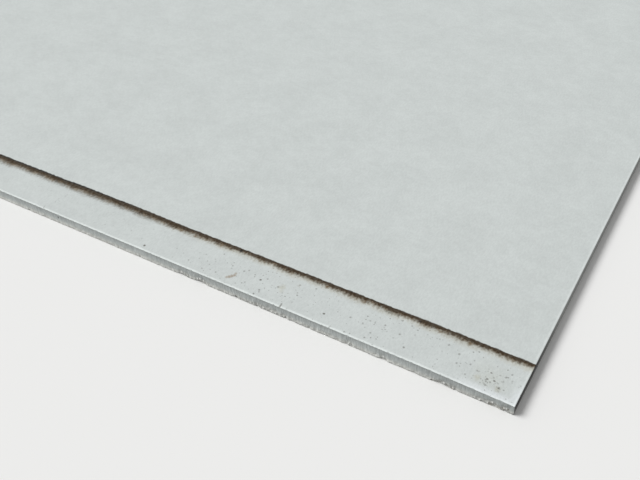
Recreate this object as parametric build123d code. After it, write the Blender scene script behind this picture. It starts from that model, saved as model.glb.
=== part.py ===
from build123d import *
import math
import os

# Drywall sheet with tapered edges, lying flat with its back on the floor.
# X runs across the sheet, Y along its length and Z up. The origin is the middle of the back.
# The long edges are formed in the line: they are smooth, and the face dips a little towards
# them, to leave room for the tape and filler of the joint. The two ends are cut with a toothed
# blade from the face down, which leaves the arris of the face crisp and breaks the back's
# arris out in flakes.

# Driving dimensions, in millimetres
sheet_width = 1200.0
sheet_length = 2400.0
sheet_thickness = 12.5
taper_width = 80.0
taper_depth = 1.6
side_arris_radius = 1.0
face_arris_wear = 0.25

# The thin broken lip that the blade leaves all along the back's arris of a cut end
lip_rise = 0.4
lip_depth = 0.6

# Flakes that broke away past the lip: one for each pitch, none nearer to a corner than the margin
flake_pitch = 14.0
flake_margin = 4.0
shortest_flake = 4.0
longest_flake = 18.0
lowest_rise = 0.6
highest_rise = 2.0
least_depth = 0.8
greatest_depth = 2.4

# Larger breaks at the front end: distance from the right corner, length, rise and depth
front_breaks = (
    (7.0, 7.0, 1.4, 1.2),
    (16.0, 14.0, 5.0, 1.1),
    (60.0, 26.0, 3.8, 1.6),
    (84.0, 11.0, 1.8, 1.3),
    (112.0, 14.0, 2.0, 1.5),
    (147.0, 9.0, 1.8, 1.3),
    (184.0, 6.0, 2.4, 1.5),
    (237.0, 8.0, 2.4, 1.5),
    (262.0, 14.0, 1.7, 1.8),
    (301.0, 18.0, 2.8, 3.5),
    (323.0, 15.0, 2.0, 3.0),
    (447.0, 11.0, 1.4, 1.3),
)

# A cutter runs this far past the surfaces that it cuts
overrun = 3.0

# Steps of the evenly scattered numbers that vary the flakes
place_step = (math.sqrt(5) - 1) / 2
length_step = math.sqrt(2) - 1
rise_step = math.sqrt(3) - 1
depth_step = math.sqrt(7) - 2
lean_step = math.sqrt(11) - 3

FRONT, REAR = -1, 1


def scatter(number, step):
    """A share from 0 to 1 that jumps about evenly as the number goes up."""
    return (number * step) % 1.0


def between(low, high, share):
    return low + (high - low) * share


def section():
    """The sheet's section: a flat back, a face that tapers towards both edges, four round arrises."""
    half_width = sheet_width / 2
    edge_height = sheet_thickness - taper_depth
    outline = Polyline(
        (-half_width, 0),
        (half_width, 0),
        (half_width, edge_height),
        (half_width - taper_width, sheet_thickness),
        (taper_width - half_width, sheet_thickness),
        (-half_width, edge_height),
        close=True,
    )
    face = make_face(outline)
    corners = face.vertices().filter_by(lambda corner: abs(corner.X) > half_width - taper_width / 2)
    return fillet(corners, side_arris_radius)


def full_sheet():
    """The sheet before its ends are broken: its section drawn out, the face's arrises a little worn."""
    board = extrude(Plane.XZ * section(), sheet_length / 2, both=True)
    lowest_arris = sheet_thickness - taper_depth - side_arris_radius
    worn = [
        edge
        for cut_face in (board.faces().sort_by(Axis.Y)[0], board.faces().sort_by(Axis.Y)[-1])
        for edge in cut_face.edges()
        if edge.center().Z > lowest_arris
    ]
    return chamfer(worn, face_arris_wear)


def lip(end):
    """The strip lost off the back's arris all along one cut end."""
    cut_face = end * sheet_length / 2
    profile = Polyline(
        (0, cut_face - 2 * end * lip_depth, -lip_rise),
        (0, cut_face + end * lip_depth, 2 * lip_rise),
        (0, cut_face + end * lip_depth, -lip_rise),
        close=True,
    )
    return extrude(make_face(profile), sheet_width / 2 + overrun, dir=(1, 0, 0), both=True)


def flake(end, x, length, rise, depth, lean):
    """A flake lost off the back's arris, as a V valley from the cut face down to the back.

    The valley starts rise up the cut face and comes out depth in on the back. Of the flake's
    length along the arris, the share lean lies to the left of the valley.
    """
    cut_face = end * sheet_length / 2
    top = Vector(x, cut_face, rise)
    foot = Vector(x, cut_face - end * depth, 0)
    down_valley = (foot - top).normalized()
    outward = Vector(0, end * rise, -depth).normalized()
    to_arris = rise * depth / math.hypot(rise, depth)
    stretch = (to_arris + overrun) / to_arris
    start = top - down_valley * overrun
    left = start + (outward * to_arris - Vector(length * lean, 0, 0)) * stretch
    right = start + (outward * to_arris + Vector(length * (1 - lean), 0, 0)) * stretch
    valley_section = make_face(Polyline(start, left, right, close=True))
    return extrude(valley_section, (foot - top).length + 2 * overrun, dir=down_valley)


def scattered_flakes(end, first_number):
    """Flakes of many sizes along one cut end, clear of its corners."""
    flakes = []
    for count in range(int(sheet_width / flake_pitch)):
        number = first_number + count
        length = between(shortest_flake, longest_flake, scatter(number, length_step) ** 2)
        rise = between(lowest_rise, highest_rise, scatter(number, rise_step) ** 2)
        depth = between(least_depth, greatest_depth, scatter(number, depth_step) ** 2)
        lean = between(0.2, 0.8, scatter(number, lean_step))
        x = flake_pitch * (count + scatter(number, place_step)) - sheet_width / 2
        if abs(x) + length < sheet_width / 2 - flake_margin:
            flakes.append(flake(end, x, length, rise, depth, lean))
    return flakes


def larger_breaks():
    return [
        flake(FRONT, sheet_width / 2 - from_corner, length, rise, depth, 0.5)
        for from_corner, length, rise, depth in front_breaks
    ]


sheet = full_sheet()
sheet -= lip(FRONT) + lip(REAR)
sheet -= scattered_flakes(FRONT, 1) + scattered_flakes(REAR, 501) + larger_breaks()

os.makedirs("parts", exist_ok=True)
export_step(sheet, "parts/drywall_sheet.step")
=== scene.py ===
import math

import bmesh
import bpy
from mathutils import Matrix, Vector


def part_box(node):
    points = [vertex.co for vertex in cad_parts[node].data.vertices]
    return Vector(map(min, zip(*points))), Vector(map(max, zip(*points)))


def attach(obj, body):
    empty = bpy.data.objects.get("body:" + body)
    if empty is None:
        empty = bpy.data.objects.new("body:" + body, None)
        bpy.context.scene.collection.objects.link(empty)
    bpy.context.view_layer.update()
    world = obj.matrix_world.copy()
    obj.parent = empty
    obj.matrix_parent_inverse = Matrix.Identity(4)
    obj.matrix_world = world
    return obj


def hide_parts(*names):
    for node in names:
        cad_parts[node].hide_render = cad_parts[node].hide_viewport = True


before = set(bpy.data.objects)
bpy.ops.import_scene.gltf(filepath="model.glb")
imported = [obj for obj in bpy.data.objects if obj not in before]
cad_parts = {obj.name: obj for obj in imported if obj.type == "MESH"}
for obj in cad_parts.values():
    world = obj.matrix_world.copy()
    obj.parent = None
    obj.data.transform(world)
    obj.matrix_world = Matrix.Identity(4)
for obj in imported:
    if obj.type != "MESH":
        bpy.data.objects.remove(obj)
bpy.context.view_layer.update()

# The board
# One sheet of gypsum board in paper, whose face tapers a little towards its formed long edges. It
# is drawn out here as rows round its section, close together at the two sawn ends, where the
# blade's marks and the breaks need them.
low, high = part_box("drywall_sheet")
width, length, thickness = high - low
front, rear, right = low.y, high.y, high.x
taper_width = 0.080
taper_depth = 0.0016
column = 0.0005
row_shares = (0.04, 0.08, 0.11, 0.12, 0.12, 0.12, 0.11, 0.10, 0.08, 0.07, 0.05)
rows_down = [share * thickness for share in row_shares]
rows_in = [0.0004, 0.0010, 0.0018, 0.0032]
rows_along = rows_in + [length - 2 * sum(rows_in)] + rows_in[::-1]
touching = 1e-6
welded_within = 1e-5


def select_where(piece, test):
    """In edit mode, selects the vertices that pass the test, with what lies between them."""
    bpy.ops.mesh.select_all(action="DESELECT")
    edit = bmesh.from_edit_mesh(piece.data)
    for vertex in edit.verts:
        vertex.select = test(vertex.co)
    edit.select_flush_mode()
    bmesh.update_edit_mesh(piece.data)


def draw_out(direction, steps):
    """Extrudes the selected row step by step in one direction."""
    for step in steps:
        bpy.ops.mesh.extrude_region_move(TRANSFORM_OT_translate={"value": direction * step})


def ramp(value, start, end):
    """Goes from 0 at start to 1 at end, and stays there."""
    return min(max((value - start) / (end - start), 0), 1)


def face_height(x):
    """How high the face lies above the back, at one place across the board."""
    return thickness - taper_depth * ramp(abs(x), right - taper_width, right)


bpy.ops.object.select_all(action="DESELECT")
bpy.ops.mesh.primitive_grid_add(
    x_subdivisions=round(width / column),
    y_subdivisions=1,
    size=1,
    location=(0, front, thickness - rows_down[0] / 2),
    rotation=(math.radians(90), 0, 0),
)
board = bpy.context.object
board.name = "board"
board.scale = (width, rows_down[0], 1)
bpy.ops.object.transform_apply(location=True, rotation=True, scale=True)
bpy.ops.object.mode_set(mode="EDIT")
bpy.ops.mesh.select_mode(type="VERT")
select_where(board, lambda place: place.z > thickness - touching)
draw_out(Vector((0, 1, 0)), rows_in[:1])
select_where(board, lambda place: place.y > front + touching and abs(place.x) < right - touching)
draw_out(Vector((0, 1, 0)), [length - 2 * rows_in[0]])
select_where(board, lambda place: place.z < thickness - touching)
draw_out(Vector((0, 0, -1)), rows_down[1:])
draw_out(Vector((0, 1, 0)), rows_along)
draw_out(Vector((0, 0, 1)), rows_down[::-1])
draw_out(Vector((0, -1, 0)), rows_in[:1])
for side in (-1, 1):
    select_where(board, lambda place: place.y < front + touching and place.x * side > right - touching)
    draw_out(Vector((0, 1, 0)), rows_along)
bpy.ops.mesh.select_all(action="SELECT")
bpy.ops.mesh.remove_doubles(threshold=welded_within)
bpy.ops.mesh.fill_holes(sides=0)
bpy.ops.mesh.normals_make_consistent(inside=False)
bpy.ops.object.mode_set(mode="OBJECT")
for vertex in board.data.vertices:
    vertex.co.z *= face_height(vertex.co.x) / thickness
board.data.update()

# The sides of the board, each of which gets its own finish. A side faces an axis where that part
# of its normal is above the share.
FACE, BACK, LONG_EDGE, SAWN_END = range(4)
facing_share = 0.9
for side in board.data.polygons:
    if abs(side.normal.y) > facing_share:
        side.material_index = SAWN_END
    elif abs(side.normal.x) > facing_share:
        side.material_index = LONG_EDGE
    else:
        side.material_index = FACE if side.normal.z > 0 else BACK

# The round long arrises and the flakes that broke off the back's arris: the rows are laid against
# the sheet's own solid, so that they take its broken ends.
unbroken = [vertex.co.copy() for vertex in board.data.vertices]
wrap = board.modifiers.new("broken_ends", "SHRINKWRAP")
wrap.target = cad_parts["drywall_sheet"]
bpy.ops.object.modifier_apply(modifier=wrap.name)

# Where a flake lifted the back's rows off the floor, they show bare gypsum.
lifted = 0.00015
for side in board.data.polygons:
    if side.material_index == BACK and side.center.z > lifted:
        side.material_index = SAWN_END

# The saw's marks and the crumbled gypsum: a toothed blade leaves upright marks on the soft core,
# coarsest about a quarter of a metre from the right corner. Towards the back the core crumbles,
# and what still stands there reaches the plane of the cut.
worked_length = 0.0065
worn_arris = 0.0003

# Places along the end, from the right corner, where its roughness changes
clean_beyond = 0.360
rough_within = 0.260
rough_beyond = 0.200
calmer_within = 0.150

# How far below the face the scoring sets in and is full, and the same for the crumbling, as
# heights above the back
scored_from = 0.0004
scored_fully = 0.0020
crumbly_from = 0.0060
crumbly_fully = 0.0035

# How far a vertex was moved by the breaks where their roughness sets in and is full
broken_from = 0.0001
broken_fully = 0.0008


def strengths(name, weigh):
    """A vertex group on the two ends, where weigh says how strongly a mark cuts in."""
    group = board.vertex_groups.new(name=name)
    for vertex, before in zip(board.data.vertices, unbroken):
        if abs(before.y) > rear - worked_length:
            group.add([vertex.index], float(weigh(vertex.co, before)), "REPLACE")
    return group.name


def on_the_cut(place, before):
    """Whether a vertex lies on a sawn end, below the worn arris of the face."""
    return abs(before.y) > rear - touching and face_height(place.x) - place.z > worn_arris


def coarseness(place):
    """How rough the cut is: roughest a little way in from the right corner, cleanest on the left."""
    along = right - place.x
    roughened = 0.40 * ramp(along, clean_beyond, rough_within)
    calmed = 0.25 * ramp(along, rough_beyond, calmer_within)
    return 0.60 + roughened - calmed


def cut_in(group, depth, cell, contrast=1.0, brightness=1.0, turns=0):
    """Moves the ends' vertices inwards by a cloudy noise, depth at the most, with cells of that size."""
    noise = bpy.data.textures.new(group, "CLOUDS")
    noise.noise_scale = 1
    noise.noise_depth = turns
    noise.contrast = contrast
    noise.intensity = brightness
    gauge = bpy.data.objects.new(group, None)
    gauge.scale = cell
    bpy.context.scene.collection.objects.link(gauge)
    bpy.context.view_layer.update()
    press = board.modifiers.new(group, "DISPLACE")
    press.texture = noise
    press.texture_coords = "OBJECT"
    press.texture_coords_object = gauge
    press.vertex_group = group
    press.mid_level = 0
    press.strength = -depth
    bpy.context.view_layer.objects.active = board
    bpy.ops.object.modifier_apply(modifier=press.name)
    bpy.data.objects.remove(gauge)


def scored(place):
    """How deeply the teeth score a place: lightly under the face's arris, fully below it."""
    return 0.4 + 0.6 * ramp(face_height(place.x) - place.z, scored_from, scored_fully)


teeth = strengths(
    "teeth", lambda place, before: on_the_cut(place, before) and coarseness(place) * scored(place)
)
cut_in(teeth, depth=0.00028, cell=(0.0008, 0.004, 0.0060))
coarse_teeth = strengths(
    "coarse_teeth", lambda place, before: on_the_cut(place, before) and coarseness(place)
)
cut_in(coarse_teeth, depth=0.00020, cell=(0.0018, 0.010, 0.0140), contrast=2.0, brightness=0.8)
crumbled = strengths(
    "crumbled",
    lambda place, before: on_the_cut(place, before)
    and coarseness(place) * ramp(place.z, crumbly_from, crumbly_fully),
)
cut_in(crumbled, depth=0.00045, cell=(0.0036, 0.004, 0.0022), contrast=4.0, brightness=1.05, turns=2)
broken = strengths(
    "broken",
    lambda place, before: place.z < thickness / 2
    and ramp((place - before).length, broken_from, broken_fully),
)
cut_in(broken, depth=0.00040, cell=(0.0014, 0.0014, 0.0014), contrast=1.6, turns=2)
nicked = strengths(
    "nicked",
    lambda place, before: before.z > face_height(before.x) - touching and abs(before.y) > rear - touching,
)
cut_in(nicked, depth=0.00045, cell=(0.0040, 0.004, 0.004), contrast=4.5, brightness=0.55, turns=2)

# The larger crumbs at the front end, as (along, down, radius, whiteness) in millimetres. They still
# stand in the plane of the cut, and the core has crumbled away round them.
crumb_marks = (
    (323.6, 10.3, 0.7, 0.95),
    (322.0, 8.9, 0.8, 1.00),
    (316.4, 10.5, 0.6, 0.65),
    (304.0, 9.5, 0.8, 0.90),
    (300.9, 8.8, 1.1, 1.00),
    (297.0, 9.4, 0.8, 0.90),
    (236.6, 9.7, 0.6, 0.80),
    (231.2, 11.7, 0.8, 1.00),
    (224.8, 9.0, 0.5, 0.65),
    (217.7, 11.0, 0.6, 0.75),
    (209.4, 11.7, 0.6, 0.75),
    (145.0, 11.7, 0.7, 0.90),
    (143.9, 8.9, 0.5, 0.65),
    (112.0, 9.3, 0.6, 0.95),
    (60.3, 11.7, 0.8, 0.95),
    (58.2, 10.3, 1.0, 1.00),
    (50.4, 11.7, 0.7, 0.90),
    (27.8, 11.7, 0.7, 0.75),
    (21.2, 11.7, 0.5, 0.85),
    (19.3, 10.6, 0.6, 0.95),
    (17.5, 8.8, 0.8, 1.00),
    (8.0, 10.3, 0.8, 0.90),
    (6.1, 9.5, 0.6, 0.75),
)
crumb_stretch = 1.6
crumb_rise = 0.0007
crumb_foot = 0.0006
crumb_shoulder = 0.0002
hollow_reach = 0.004

# How far below the face the hollows round the crumbs set in and are full
hollow_from = 0.0025
hollow_fully = 0.0050


def hollow(place):
    """How far a place on the cut lies behind the crumbs that stand near it, from 0 to 1."""
    deepest = 0
    for along, down, radius, _ in crumb_marks:
        beside = right - place.x - along / 1000
        below = (thickness - place.z - down / 1000) / crumb_stretch
        away = math.hypot(beside, below)
        if away < hollow_reach:
            standing = ramp(away, radius / 1000 + crumb_foot, radius / 1000 - crumb_shoulder)
            deepest = max(deepest, ramp(away, hollow_reach, hollow_reach / 2) * (1 - standing))
            if standing > 0.5:
                return 1 - standing
    return deepest


for vertex, before in zip(board.data.vertices, unbroken):
    if before.y < front + touching and on_the_cut(vertex.co, before):
        below_arris = face_height(vertex.co.x) - vertex.co.z
        vertex.co.y += crumb_rise * hollow(vertex.co) * ramp(below_arris, hollow_from, hollow_fully)

# Nothing stands out past the sheet's own outline.
for vertex in board.data.vertices:
    vertex.co.y = min(max(vertex.co.y, front), rear)
    vertex.co.z = min(max(vertex.co.z, 0), face_height(vertex.co.x))
for side in board.data.polygons:
    side.use_smooth = side.material_index == SAWN_END
bpy.ops.object.select_all(action="DESELECT")
board.select_set(True)


class Finish:
    """One finish of the board, whose nodes read places from the front right corner of its face.

    X runs to the left along the front end, Y in from that end and Z down from the face, in metres.
    Every method takes plain numbers, colours or the outputs of other nodes.
    """

    def __init__(self, name, roughness, gloss):
        self.material = bpy.data.materials.new(name)
        self.material.use_nodes = True
        self.nodes = self.material.node_tree.nodes
        self.shader = self.nodes["Principled BSDF"]
        self.shader.inputs["Roughness"].default_value = roughness
        self.shader.inputs["Specular IOR Level"].default_value = gloss
        on_board = self.nodes.new("ShaderNodeTexCoord").outputs["Object"]
        self.place = self.node(
            "ShaderNodeMapping",
            {"Vector": on_board, "Location": (right, -front, thickness), "Scale": (-1, 1, -1)},
        )
        apart = self.nodes.new("ShaderNodeSeparateXYZ")
        self.join(self.place, apart.inputs[0])
        self.along, self.inward, self.down = apart.outputs
        self.from_above = self.node("ShaderNodeCombineXYZ", {0: self.along, 1: self.inward})
        self.from_ahead = self.node("ShaderNodeCombineXYZ", {0: self.along, 1: self.down})

    def join(self, value, socket):
        if isinstance(value, bpy.types.NodeSocket):
            self.material.node_tree.links.new(value, socket)
        else:
            socket.default_value = value

    def node(self, kind, inputs, output=0, **settings):
        made = self.nodes.new(kind)
        for name, setting in settings.items():
            setattr(made, name, setting)
        for key, value in inputs.items():
            self.join(value, made.inputs[key])
        return made.outputs[output]

    def reckon(self, operation, *values, clamp=False):
        return self.node("ShaderNodeMath", dict(enumerate(values)), operation=operation, use_clamp=clamp)

    def times(self, *values):
        product = values[0]
        for value in values[1:]:
            product = self.reckon("MULTIPLY", product, value)
        return product

    def fade(self, value, start, end, low=0.0, high=1.0):
        """Goes softly from low to high as the value goes from start to end."""
        inputs = {"Value": value, "From Min": start, "From Max": end, "To Min": low, "To Max": high}
        return self.node("ShaderNodeMapRange", inputs, interpolation_type="SMOOTHSTEP")

    def cloud(self, size, turns=2.0, shift=0.0):
        """Cloudy noise from 0 to 1 about 0.5, with cells of the size, which may differ by axis."""
        sizes = size if isinstance(size, tuple) else (size,) * 3
        scaled = self.node(
            "ShaderNodeMapping",
            {"Vector": self.place, "Location": (shift, shift, shift), "Scale": [1 / each for each in sizes]},
        )
        return self.node("ShaderNodeTexNoise", {"Vector": scaled, "Scale": 1.0, "Detail": turns})

    def drift(self, size, low, high, turns=2.0, shift=0.0):
        """Wanders between low and high."""
        return self.fade(self.cloud(size, turns, shift), 0.3, 0.7, low, high)

    def ragged(self, flat, reach, size):
        """Places on a flat view, moved about by the reach, so that marks laid on them get uneven edges."""
        scaled = self.node("ShaderNodeMapping", {"Vector": flat, "Scale": (1 / size,) * 3})
        noise_inputs = {"Vector": scaled, "Scale": 1.0, "Detail": 2.0}
        noise = self.node("ShaderNodeTexNoise", noise_inputs, output="Color")
        centred = self.node("ShaderNodeVectorMath", {0: noise, 1: (0.5, 0.5, 0.5)}, operation="SUBTRACT")
        both_ways = (2 * reach, 2 * reach, 0)
        moved = self.node("ShaderNodeVectorMath", {0: centred, 1: both_ways}, operation="MULTIPLY")
        return self.node("ShaderNodeVectorMath", {0: flat, 1: moved}, operation="ADD")

    def specks(self, place, pitch, small, large, stretch=1.0, shift=0.0):
        """One speck in each cell of the pitch, mostly near the small radius and some near the large."""
        scaled = self.node(
            "ShaderNodeMapping",
            {"Vector": place, "Location": (shift, shift, 0), "Scale": (1 / pitch, 1 / pitch / stretch, 0)},
        )
        cells = self.nodes.new("ShaderNodeTexVoronoi")
        cells.voronoi_dimensions = "2D"
        self.join(scaled, cells.inputs["Vector"])
        cells.inputs["Scale"].default_value = 1.0
        luck = self.node("ShaderNodeSeparateColor", {0: cells.outputs["Color"]})
        radius = self.fade(self.times(luck, luck, luck), 0.0, 1.0, small / pitch, large / pitch)
        outside = self.reckon("SUBTRACT", cells.outputs["Distance"], radius)
        soft = 0.25 * small / pitch
        return self.fade(outside, soft, -soft)

    def spots(self, place, marks, soft, stretch=1.0):
        """Marks given one by one, as (along, in or down, radius, strength) in millimetres."""
        scaled = self.node("ShaderNodeMapping", {"Vector": place, "Scale": (1, 1 / stretch, 1)})
        covered = 0.0
        for along, across, radius, strength in marks:
            centre = (along / 1000, across / 1000 / stretch, 0)
            away = self.node(
                "ShaderNodeVectorMath", {0: scaled, 1: centre}, output="Value", operation="DISTANCE"
            )
            at_centre = (radius / 1000 + soft / 2) / soft
            inside = self.reckon("MULTIPLY_ADD", away, -1 / soft, at_centre, clamp=True)
            covered = self.reckon("MAXIMUM", covered, self.times(inside, strength))
        return covered

    def blend(self, share, under, over):
        """Lays one colour over another by the share."""
        inputs = {0: share, 6: under, 7: over}
        return self.node("ShaderNodeMix", inputs, output=2, data_type="RGBA")

    def shade(self, colour, factor):
        """The colour made lighter or darker by the factor."""
        return self.node("ShaderNodeVectorMath", {0: colour, "Scale": factor}, operation="SCALE")

    def done(self, colour, height, relief):
        """Gives the shader its colour and its bump, where a height of 1 stands the relief high."""
        self.join(colour, self.shader.inputs["Base Color"])
        bump = self.node("ShaderNodeBump", {"Height": height, "Distance": relief, "Strength": 1.0})
        self.join(bump, self.shader.inputs["Normal"])
        return self.material


# The face paper: smooth pale grey paper with its fibres along the board. A strip of it along the
# front end lay bare to the weather: it is specked, most of all at the right corner, and dirt with
# painted shade of the sheet that lay over the rest of the face runs along the strip's inner side.
bare_strip = 0.0458
paper_grey = (0.585, 0.622, 0.611, 1)
warm_grey = (0.560, 0.590, 0.555, 1)
border_white = (0.688, 0.726, 0.732, 1)
# The darkest colours of the strip's inner side are dirt together with painted shade.
seam_dirt_and_shade = (0.037, 0.0215, 0.008, 1)
brown_dirt = (0.150, 0.104, 0.056, 1)
black_dirt_and_shade = (0.008, 0.006, 0.004, 1)
thin_dirt = (0.440, 0.420, 0.340, 1)
speck_grey = (0.130, 0.125, 0.110, 1)
stain_yellow = (0.370, 0.335, 0.200, 1)
stain_brown = (0.260, 0.170, 0.090, 1)

dark_marks = (
    (496, 19, 0.6, 0.30),
    (494, 17, 0.6, 0.30),
    (496, 14, 0.7, 0.30),
    (493, 28, 0.6, 0.30),
    (473, 37, 0.7, 0.35),
    (425, 11, 0.7, 0.30),
    (396, 17, 0.7, 0.30),
    (370, 6, 1.1, 0.95),
    (336, 6, 0.7, 0.35),
    (330, 15, 0.6, 0.35),
    (320, 10, 0.7, 0.50),
    (310, 24, 0.7, 0.40),
    (295, 32, 0.8, 0.50),
    (288, 9, 0.8, 0.60),
    (280, 27, 0.6, 0.40),
    (279, 23, 0.7, 0.50),
    (278, 20, 0.6, 0.45),
    (264, 6, 0.6, 0.45),
    (262, 25, 0.8, 0.50),
    (259, 9, 0.7, 0.55),
    (257, 11, 0.7, 0.50),
    (254, 23, 0.7, 0.55),
    (253, 21, 0.6, 0.55),
    (247, 26, 0.6, 0.40),
    (246, 20, 0.9, 0.95),
    (242, 3, 0.8, 0.70),
    (241, 24, 0.8, 0.60),
    (240, 9, 0.8, 0.65),
    (239, 7, 0.7, 0.60),
    (233, 19, 0.6, 0.35),
    (208, 22, 0.7, 0.40),
    (196, 34, 0.8, 0.45),
    (175, 12, 1.0, 0.90),
    (153, 19, 0.8, 0.50),
    (137, 15, 0.6, 0.40),
    (132, 25, 0.6, 0.35),
    (132, 5, 0.8, 0.60),
    (123, 25, 0.8, 0.55),
    (121, 21, 0.6, 0.45),
    (111, 16, 0.7, 0.35),
    (108, 22, 0.9, 0.60),
    (103, 35, 0.7, 0.45),
    (99, 11, 0.9, 0.65),
    (97, 33, 0.7, 0.50),
    (77, 33, 0.7, 0.35),
    (68, 31, 0.8, 0.50),
    (49, 21, 0.6, 0.35),
    (45, 21, 0.8, 0.50),
    (45, 10, 0.8, 0.45),
    (39, 9, 0.6, 0.35),
)
tuft_marks = (
    (351.7, 39.6, 1.6, 0.85),
    (334.1, 38.6, 1.2, 0.70),
    (304.7, 40.2, 1.5, 0.75),
    (211.3, 30.2, 1.0, 0.35),
    (188.9, 40.6, 1.5, 0.85),
    (151.5, 40.0, 1.5, 0.75),
    (80.6, 40.0, 1.3, 0.70),
    (53.1, 39.8, 1.5, 0.70),
)
clot_marks = (
    (550.4, 45.4, 1.3, 0.85),
    (403.9, 42.2, 1.1, 0.85),
    (283.5, 43.2, 1.7, 0.85),
    (166.5, 45.8, 0.9, 0.80),
    (99.5, 42.6, 0.9, 0.80),
)
nick_marks = (
    (500.6, 4.2, 0.4, 0.35),
    (500.4, 3.3, 0.4, 0.50),
    (500.2, 2.4, 0.4, 0.55),
    (499.9, 1.5, 0.5, 0.60),
    (498.8, 0.7, 0.6, 0.45),
    (218.6, 13.0, 0.5, 0.40),
    (219.0, 11.2, 0.5, 0.40),
    (213.4, 4.5, 0.7, 0.60),
    (212.9, 3.3, 0.9, 0.60),
    (213.0, 2.1, 0.8, 0.70),
    (212.8, 1.1, 0.7, 0.75),
    (213.0, 0.3, 0.7, 0.70),
    (163.6, 0.4, 0.5, 0.60),
    (163.4, 1.3, 0.6, 0.60),
    (162.9, 2.4, 0.4, 0.45),
    (291.5, 1.4, 0.6, 0.30),
    (265.3, 2.1, 0.6, 0.30),
)
corner_marks = (
    (38.0, 17.8, 0.7, 0.50),
    (36.6, 17.9, 0.6, 0.45),
    (32.1, 20.2, 0.5, 0.30),
    (27.5, 21.3, 0.9, 0.80),
    (28.9, 12.9, 0.7, 0.60),
    (28.0, 14.2, 0.9, 0.80),
    (28.2, 11.4, 0.6, 0.60),
    (26.8, 11.2, 0.6, 0.60),
    (25.1, 12.5, 0.7, 0.65),
    (32.8, 11.8, 0.6, 0.45),
    (30.9, 11.2, 0.5, 0.40),
    (29.4, 9.2, 0.5, 0.35),
    (28.4, 8.7, 0.5, 0.55),
    (27.4, 8.2, 0.7, 0.60),
    (26.0, 8.0, 0.4, 0.50),
    (24.2, 17.7, 0.7, 0.50),
    (22.7, 15.2, 0.8, 0.80),
    (21.8, 14.6, 0.5, 0.55),
    (20.0, 14.4, 0.5, 0.50),
    (19.0, 13.9, 0.5, 0.50),
    (21.8, 12.2, 0.5, 0.30),
    (20.8, 22.3, 0.6, 0.40),
    (16.0, 22.8, 0.8, 0.65),
    (14.8, 23.4, 0.7, 0.60),
    (17.3, 17.2, 0.5, 0.40),
    (16.1, 17.6, 0.6, 0.50),
    (18.9, 10.5, 0.6, 0.45),
    (17.2, 10.4, 0.9, 0.80),
    (16.4, 10.1, 0.6, 0.70),
    (16.4, 7.5, 0.6, 0.30),
    (12.7, 27.9, 0.7, 0.35),
    (10.4, 21.8, 0.6, 0.40),
    (3.3, 20.2, 0.6, 0.40),
)

paper = Finish("face_paper", roughness=0.88, gloss=0.25)
ragged = paper.ragged(paper.from_above, 0.0006, 0.0016)

# The bare strip, which is a little wider on the left. Dirt crept in past its inner side by a ragged
# margin, and the innermost line of it is a painted shade, blackest on the left.
widened = paper.times(
    paper.fade(paper.along, 0.350, 0.420, 0.0, 0.0009),
    paper.fade(paper.along, 0.480, 0.520, 1.0, 0.2),
)
from_inner_side = paper.reckon("SUBTRACT", paper.reckon("ADD", bare_strip, widened), paper.inward)
bare = paper.fade(from_inner_side, -0.0004, 0.0004)
crept_in = paper.fade(from_inner_side, paper.drift(0.0040, -0.0017, -0.0002, turns=4.0, shift=15.0), 0.0)
black_shade_line = paper.times(
    paper.fade(from_inner_side, 0.0024, 0.0006), paper.fade(paper.along, 0.360, 0.500, 0.10, 0.85)
)

# The paper's tone: warmer and mottled where the corner is weathered, paler along its borders
corner_patch = ((26, 18, 8, 0.9),)
near_front_corner = paper.spots(paper.ragged(paper.from_above, 0.010, 0.014), corner_patch, 0.022)
mottled = paper.times(near_front_corner, paper.drift((0.0011, 0.0014, 1.0), -0.07, 0.06, turns=2.0, shift=19.0))
tone = paper.times(
    paper.drift(0.045, 0.975, 1.020, turns=3.0),
    paper.drift(0.011, 0.975, 1.018, turns=3.0, shift=3.0),
    paper.drift((0.0018, 0.0040, 1.0), 0.960, 1.032, turns=2.0, shift=7.0),
    paper.drift((0.0006, 0.0012, 1.0), 0.970, 1.026, turns=1.0, shift=9.0),
    # Painted highlight: bright bands along the front arris and along the right arris.
    paper.fade(paper.inward, 0.0008, 0.0028, paper.fade(paper.along, 0.035, 0.070, 1.15, 1.27), 1.0),
    paper.fade(paper.along, 0.0012, 0.0030, 1.14, 1.0),
    paper.reckon("ADD", mottled, 1.0),
)
colour = paper.blend(near_front_corner, paper_grey, warm_grey)
right_border = paper.times(paper.fade(paper.along, 0.0090, 0.0030), paper.fade(paper.inward, 0.028, 0.006))
front_border = paper.times(paper.fade(paper.inward, 0.0080, 0.0035), paper.fade(paper.along, 0.060, 0.030))
colour = paper.blend(paper.reckon("MAXIMUM", right_border, front_border), colour, border_white)

# Stains, then the specks, the crack and the nicks
yellow_marks = (
    (35.7, 12.0, 1.8, 0.34),
    (224, 21, 3.0, 0.30),
    (222, 17, 1.5, 0.25),
    (17.6, 8.9, 1.6, 0.40),
)
yellowed = paper.spots(paper.ragged(paper.from_above, 0.0025, 0.0030), yellow_marks, 0.0035)
colour = paper.blend(yellowed, colour, stain_yellow)
brown_marks = (
    (275.0, 8.6, 1.4, 0.50),
    (273.4, 10.0, 1.7, 0.60),
    (271.8, 11.8, 1.6, 0.60),
    (270.3, 13.8, 1.4, 0.65),
    (270.6, 16.2, 1.0, 0.60),
)
smudged = paper.spots(ragged, brown_marks, 0.0016)
colour = paper.blend(smudged, colour, stain_brown)
weathering = paper.fade(paper.along, 0.420, 0.200, 0.25, 1.0)
crowded = paper.drift(0.030, 0.15, 1.25, shift=13.0)
fine_specks = paper.times(paper.specks(ragged, 0.0044, 0.00016, 0.00070), bare, weathering, crowded, 0.50)
large_specks = paper.specks(ragged, 0.0190, 0.00040, 0.00110, shift=4.0)
large_specks = paper.times(large_specks, bare, weathering, 0.45)
specked = paper.reckon("MAXIMUM", fine_specks, large_specks)
specked = paper.reckon("MAXIMUM", specked, paper.spots(ragged, dark_marks, 0.0008))
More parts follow.
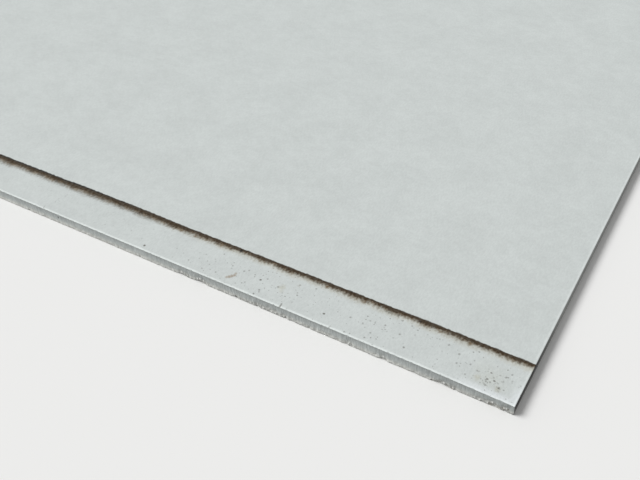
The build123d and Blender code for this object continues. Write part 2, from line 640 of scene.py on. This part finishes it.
specked = paper.reckon("MAXIMUM", specked, paper.spots(ragged, nick_marks, 0.0007))
frayed = paper.ragged(paper.from_above, 0.0011, 0.0014)
specked = paper.reckon("MAXIMUM", specked, paper.spots(frayed, corner_marks, 0.0008))
colour = paper.blend(specked, colour, speck_grey)

# The dirt along the strip's inner side: a dusty fringe, then a packed line of dirt and painted shade
# that is browner on its outer side and widest on the left, with tufts and clots of it here and there
creep = paper.drift((0.0022, 0.0032, 1.0), -0.0011, 0.0011, turns=3.0, shift=5.0)
long_creep = paper.drift(0.022, -0.0011, 0.0011, turns=2.0, shift=6.0)
from_inner_side = paper.reckon("ADD", paper.reckon("ADD", from_inner_side, creep), long_creep)
dusted = paper.times(paper.fade(from_inner_side, 0.0120, 0.0045, 0.0, 0.60), bare)
colour = paper.blend(dusted, colour, thin_dirt)
reach = paper.fade(paper.along, 0.300, 0.420, 0.92, 1.55)
from_inner_side = paper.reckon("DIVIDE", from_inner_side, reach)
from_inner_side = paper.reckon("ADD", from_inner_side, paper.fade(paper.along, 0.004, 0.018, 0.0014, 0.0))
thickly = paper.drift(0.003, 0.92, 1.0, turns=3.0, shift=8.0)
packed_and_shaded = paper.times(paper.fade(from_inner_side, 0.0088, 0.0026), crept_in, thickly)
browner = paper.times(
    paper.fade(from_inner_side, 0.0024, 0.0040), paper.drift(0.007, 0.0, 0.85, turns=3.0, shift=14.0)
)
# Painted shade: the packed line and its innermost black line are darkened as the shade of the sheet that lay
# there.
packed_dirt_and_shade = paper.blend(black_shade_line, paper.blend(browner, seam_dirt_and_shade, brown_dirt), black_dirt_and_shade)
colour = paper.blend(packed_and_shaded, colour, packed_dirt_and_shade)
torn = paper.ragged(paper.from_above, 0.0016, 0.0028)
colour = paper.blend(paper.spots(torn, tuft_marks, 0.0020), colour, brown_dirt)
colour = paper.blend(paper.spots(torn, clot_marks, 0.0010), colour, black_dirt_and_shade)
height = paper.cloud((0.0006, 0.0012, 0.001), turns=3.0, shift=11.0)
face_paper = paper.done(paper.shade(colour, tone), height, 0.00003)

# The sawn ends: bare gypsum, dull and scored upright by the teeth. Crumbs that stand in the
# plane of the cut are whiter, and pits behind it are darkened by painted shade. The marks show at
# both ends alike, and only at the front is the mesh itself hollowed round its crumbs.
gypsum = (0.570, 0.606, 0.592, 1)
warm_gypsum = (0.596, 0.606, 0.572, 1)
crumb_white = (0.900, 0.905, 0.870, 1)
pit_grey = (0.380, 0.385, 0.365, 1)
pit_dark = (0.060, 0.058, 0.050, 1)
# Dust, and the painted shade in the scars' hollows:
dust_and_shade_brown = (0.220, 0.190, 0.140, 1)

# Painted shade in the hollows of the breaks, brownish, as (along, down, radius, strength) in millimetres.
scar_marks = (
    (69.3, 12.0, 0.8, 0.35),
    (66.5, 11.0, 0.9, 0.40),
    (63.5, 10.5, 0.9, 0.45),
    (55.5, 11.2, 1.4, 0.30),
    (19.7, 10.2, 0.9, 0.55),
    (17.6, 9.6, 1.0, 0.65),
    (14.6, 8.9, 0.8, 0.40),
    (12.2, 10.6, 1.3, 0.30),
    (8.8, 10.6, 1.3, 0.55),
    (8.0, 6.9, 0.5, 0.30),
    (5.2, 9.1, 0.8, 0.60),
    (4.8, 5.6, 0.5, 0.25),
    (539.0, 3.2, 2.2, 0.07),
    (536.5, 6.0, 2.2, 0.08),
)
# Painted highlight along the ridge and lip of the break at the right corner, over pale torn gypsum.
lip_marks = (
    (27.2, 9.9, 0.35, 0.50),
    (26.0, 9.9, 0.35, 0.50),
    (24.8, 9.9, 0.35, 0.45),
    (23.6, 10.0, 0.35, 0.40),
    (22.4, 10.0, 0.35, 0.40),
    (21.4, 9.6, 0.35, 0.45),
    (20.4, 9.0, 0.35, 0.55),
    (19.4, 8.4, 0.35, 0.65),
    (18.4, 7.8, 0.35, 0.70),
    (17.4, 7.2, 0.35, 0.70),
    (16.4, 6.8, 0.35, 0.50),
    (15.1, 7.4, 0.40, 0.25),
    (13.0, 6.9, 0.40, 0.25),
)
# Pits on the cut, painted near black as the shade inside them.
pit_marks = (
    (479.3, 3.8, 0.7, 0.95),
    (497.7, 3.2, 0.4, 0.40),
    (499.0, 6.2, 0.3, 0.35),
    (548.7, 4.7, 0.4, 0.35),
    (256.1, 3.7, 0.5, 0.45),
    (256.5, 6.5, 0.4, 0.40),
    (261.0, 11.4, 0.9, 0.70),
    (212.4, 3.7, 0.3, 0.30),
    (208.5, 11.4, 0.5, 0.45),
    (183.8, 9.7, 0.5, 0.40),
    (175.0, 11.4, 0.5, 0.45),
)

sawn = Finish("sawn_gypsum", roughness=0.95, gloss=0.15)
behind_front = sawn.inward
behind_rear = sawn.reckon("SUBTRACT", length, sawn.inward)
behind = sawn.reckon("MINIMUM", behind_front, behind_rear)
rough_part = sawn.times(
    sawn.fade(sawn.along, clean_beyond, rough_within, 0.60, 1.0),
    sawn.fade(sawn.along, calmer_within, rough_beyond, 0.80, 1.0),
)
streaks = sawn.times(
    sawn.drift((0.0022, 1.0, 0.0060), -0.09, 0.09, turns=3.0, shift=19.0),
    sawn.fade(sawn.along, 0.400, 0.450),
)
# Painted shade and light on the cut: darker just under the face's arris, and lighter towards the back and
# its lip as a painted bounce light from below.
lip_light = sawn.times(
    sawn.fade(sawn.down, 0.0070, 0.0100), sawn.fade(sawn.along, 0.250, 0.350, 0.02, 0.06)
)
tone = sawn.times(
    sawn.fade(sawn.down, 0.0008, 0.0032, sawn.fade(sawn.along, 0.025, 0.045, 0.73, 0.82), 1.0),
    sawn.fade(sawn.along, 0.006, 0.014, 0.91, 1.0),
    sawn.fade(sawn.down, 0.0028, 0.0105, 1.0, 1.36),
    sawn.fade(sawn.along, 0.040, 0.120, 0.95, 1.04),
    sawn.drift((0.0008, 1.0, 0.0070), 0.88, 1.11, turns=2.0),
    sawn.drift((0.0030, 1.0, 0.0120), 0.955, 1.045, turns=2.0, shift=3.0),
    sawn.drift(0.030, 0.97, 1.03, shift=5.0),
    sawn.reckon("ADD", streaks, 1.0),
    sawn.reckon("ADD", lip_light, 1.0),
)
colour = sawn.blend(sawn.fade(sawn.down, 0.0060, 0.0105), gypsum, warm_gypsum)
# Painted shade: the cut is greyer where it lies deeper behind its plane.
colour = sawn.blend(sawn.times(sawn.fade(behind, 0.00045, 0.00090), 0.30), colour, pit_grey)
colour = sawn.shade(colour, tone)

# Crumbs and grains in the plane of the cut, the fresh insides of the breaks and the pale lip, which also
# carries a painted highlight
low_part = sawn.fade(sawn.down, 0.0040, 0.0085)
at_the_cut = sawn.fade(behind, 0.00045, 0.00020)
uneven = sawn.ragged(sawn.from_ahead, 0.0004, 0.0012)
small_crumbs = sawn.times(sawn.specks(uneven, 0.0022, 0.00020, 0.00060, stretch=2.0), 0.55)
grains = sawn.fade(sawn.cloud((0.0011, 1.0, 0.0022), turns=2.0, shift=7.0), 0.54, 0.64)
grains = sawn.times(grains, 0.60)
crumbs = sawn.times(sawn.reckon("MAXIMUM", small_crumbs, grains), low_part, at_the_cut, rough_part)
colour = sawn.blend(crumbs, colour, crumb_white)
fresh = sawn.times(sawn.fade(behind, 0.0008, 0.0016), 0.25)
colour = sawn.blend(fresh, colour, crumb_white)
# Painted highlight: the lowest part of the cut is whitened where the lip catches the light, over paler
# gypsum.
pale_lit_lip = sawn.times(sawn.fade(sawn.down, 0.0098, 0.0116), sawn.drift(0.0030, 0.15, 0.40, shift=17.0))
colour = sawn.blend(pale_lit_lip, colour, crumb_white)
standing = sawn.spots(uneven, crumb_marks, 0.0009, stretch=crumb_stretch)
# The white of the larger crumbs sits a little above their bumps, on their upper sides: white gypsum with a
# painted highlight.
crumb_tops = sawn.node("ShaderNodeVectorMath", {0: uneven, 1: (0, 0.0004, 0)}, operation="ADD")
colour = sawn.blend(sawn.spots(crumb_tops, crumb_marks, 0.0005, stretch=crumb_stretch), colour, crumb_white)

# Dust, then a painted highlight along the corner break's lip, and painted shade in the scars' hollows and in
# the pits
darkened = sawn.times(sawn.fade(sawn.cloud(0.022, turns=3.0, shift=9.0), 0.58, 0.72), 0.10)
colour = sawn.blend(darkened, colour, dust_and_shade_brown)
colour = sawn.blend(sawn.spots(uneven, lip_marks, 0.0006), colour, crumb_white)
scar_shade = sawn.spots(sawn.ragged(sawn.from_ahead, 0.0008, 0.0020), scar_marks, 0.0014)
colour = sawn.blend(scar_shade, colour, dust_and_shade_brown)
# The pits are painted near black, as the shade inside them.
pitted = sawn.spots(uneven, pit_marks, 0.0006, stretch=2.2)
colour = sawn.blend(pitted, colour, pit_dark)
roughness = sawn.cloud((0.0005, 0.0005, 0.0009), turns=3.0, shift=11.0)
raised = sawn.reckon("MAXIMUM", standing, sawn.times(crumbs, 0.5))
height = sawn.reckon("ADD", sawn.times(roughness, 0.25), raised)
sawn_gypsum = sawn.done(colour, height, 0.00056)

# The long edges: the face paper is folded round them. They are dull from handling, dust and painted
# shade darken them along their arrises, and painted shade darkens them towards the front end.
edge_grey = (0.400, 0.415, 0.400, 1)
edge_dust_and_shade = (0.200, 0.185, 0.155, 1)
# The darkest edge colour is painted shade.
edge_shade = (0.022, 0.020, 0.018, 1)

edge = Finish("edge_paper", roughness=0.88, gloss=0.25)
tone = edge.times(
    edge.drift(0.040, 0.94, 1.05, turns=3.0), edge.drift((1.0, 0.0040, 0.0006), 0.95, 1.04, shift=3.0)
)
# Dust with painted shade darkens the edge along its top and bottom.
low_dust_and_shade = edge.fade(edge.down, 0.0090, 0.0122, 0.0, 0.75)
high_dust_and_shade = edge.fade(edge.down, 0.0042, 0.0022, 0.0, 0.55)
darkened = edge.times(
    edge.reckon("MAXIMUM", low_dust_and_shade, high_dust_and_shade), edge.drift(0.012, 0.70, 1.0, turns=3.0, shift=5.0)
)
colour = edge.blend(darkened, edge_grey, edge_dust_and_shade)
# Painted shade: the edge darkens towards the front end, most near the top.
near_front_corner = edge.times(
    edge.fade(edge.inward, 0.120, 0.040),
    edge.fade(edge.down, 0.0050, 0.0100, 0.96, 0.50),
    edge.drift(0.008, 0.85, 1.0),
)
colour = edge.blend(near_front_corner, colour, edge_shade)
height = edge.cloud((0.001, 0.0012, 0.0006), turns=3.0, shift=11.0)
edge_paper = edge.done(edge.shade(colour, tone), height, 0.00003)

# The back paper: rougher and browner than the face, with loose fibres pressed in.
back_grey = (0.420, 0.400, 0.360, 1)
fibre_brown = (0.240, 0.210, 0.170, 1)

back = Finish("back_paper", roughness=0.92, gloss=0.20)
tone = back.times(
    back.drift(0.060, 0.95, 1.04, turns=3.0), back.drift((0.0008, 0.0050, 1.0), 0.95, 1.04, shift=3.0)
)
fibres = back.fade(back.cloud((0.0016, 0.0110, 1.0), turns=3.0, shift=5.0), 0.62, 0.72, 0.0, 0.45)
colour = back.blend(fibres, back_grey, fibre_brown)
height = back.cloud((0.0008, 0.0030, 0.001), turns=3.0, shift=11.0)
back_paper = back.done(back.shade(colour, tone), height, 0.00006)

for finish in (face_paper, back_paper, edge_paper, sawn_gypsum):
    board.data.materials.append(finish)

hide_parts("drywall_sheet")
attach(board, "root")

# The floor
# A plain pale floor. It looks paler to the camera than it is to the light that it throws back
# up, so that the board's edges stay as dark as they are over a dull floor.
floor_size = 60
floor_thrown_back = (0.40, 0.40, 0.40, 1)
floor_seen = (0.84, 0.84, 0.83, 1)
bpy.ops.mesh.primitive_plane_add(size=floor_size, location=(0, 0, 0))
floor = bpy.context.object
floor.name = "floor"
paint = bpy.data.materials.new("floor_paint")
paint.use_nodes = True
nodes, links = paint.node_tree.nodes, paint.node_tree.links


def seen_directly(nodes, links):
    """1 where the camera sees a surface, also in a mirror or through glass."""
    rays = nodes.new("ShaderNodeLightPath")
    seen = rays.outputs["Is Camera Ray"]
    for name in ("Is Glossy Ray", "Is Transmission Ray"):
        either = nodes.new("ShaderNodeMath")
        either.operation = "MAXIMUM"
        links.new(seen, either.inputs[0])
        links.new(rays.outputs[name], either.inputs[1])
        seen = either.outputs[0]
    return seen


def two_colours(nodes, links, unseen, seen, target):
    """Gives the target one colour where it is seen and another where it only throws light back."""
    choice = nodes.new("ShaderNodeMix")
    choice.data_type = "RGBA"
    choice.inputs[6].default_value = unseen
    choice.inputs[7].default_value = seen
    links.new(seen_directly(nodes, links), choice.inputs[0])
    links.new(choice.outputs[2], target)


surface = nodes["Principled BSDF"]
two_colours(nodes, links, floor_thrown_back, floor_seen, surface.inputs["Base Color"])
surface.inputs["Roughness"].default_value = 0.9
surface.inputs["Specular IOR Level"].default_value = 0.1
floor.data.materials.append(paint)

# Light
# An even pale room and one very soft lamp from the upper left, a little in front, whose spread is
# in degrees.
room_light = (0.40, 0.40, 0.40, 1)
room_seen = (0.90, 0.90, 0.90, 1)
lamp_strength = 2.35
lamp_spread = 30
towards_lamp = Vector((-0.57, -0.20, 0.80))

room = bpy.data.worlds.new("room")
bpy.context.scene.world = room
room.use_nodes = True
nodes, links = room.node_tree.nodes, room.node_tree.links
two_colours(nodes, links, room_light, room_seen, nodes["Background"].inputs["Color"])
bpy.ops.object.light_add(type="SUN", rotation=(0, 0, 0))
lamp = bpy.context.object
lamp.data.energy = lamp_strength
lamp.data.angle = math.radians(lamp_spread)
lamp.rotation_mode = "QUATERNION"
lamp.rotation_quaternion = towards_lamp.to_track_quat("Z", "Y")

# The camera
# It looks down on the front right corner, as the photograph does. Its place is measured from that
# corner of the face, and its angles are in degrees.
camera_from_corner = Vector((0.0801, -0.3689, 0.4994))
camera_turn = 33.694
camera_below_level = 42.130
camera_roll = -3.963

camera_data = bpy.data.cameras.new("camera")
camera_data.lens = 44.53
camera_data.sensor_width = 36
camera_data.clip_start = 0.01
camera = bpy.data.objects.new("camera", camera_data)
bpy.context.scene.collection.objects.link(camera)
corner = Vector((right, front, thickness))
camera.matrix_world = (
    Matrix.Translation(corner + camera_from_corner)
    @ Matrix.Rotation(math.radians(camera_turn), 4, "Z")
    @ Matrix.Rotation(math.radians(90 - camera_below_level), 4, "X")
    @ Matrix.Rotation(math.radians(camera_roll), 4, "Z")
)
bpy.context.scene.camera = camera
bpy.context.scene.view_settings.view_transform = "Standard"
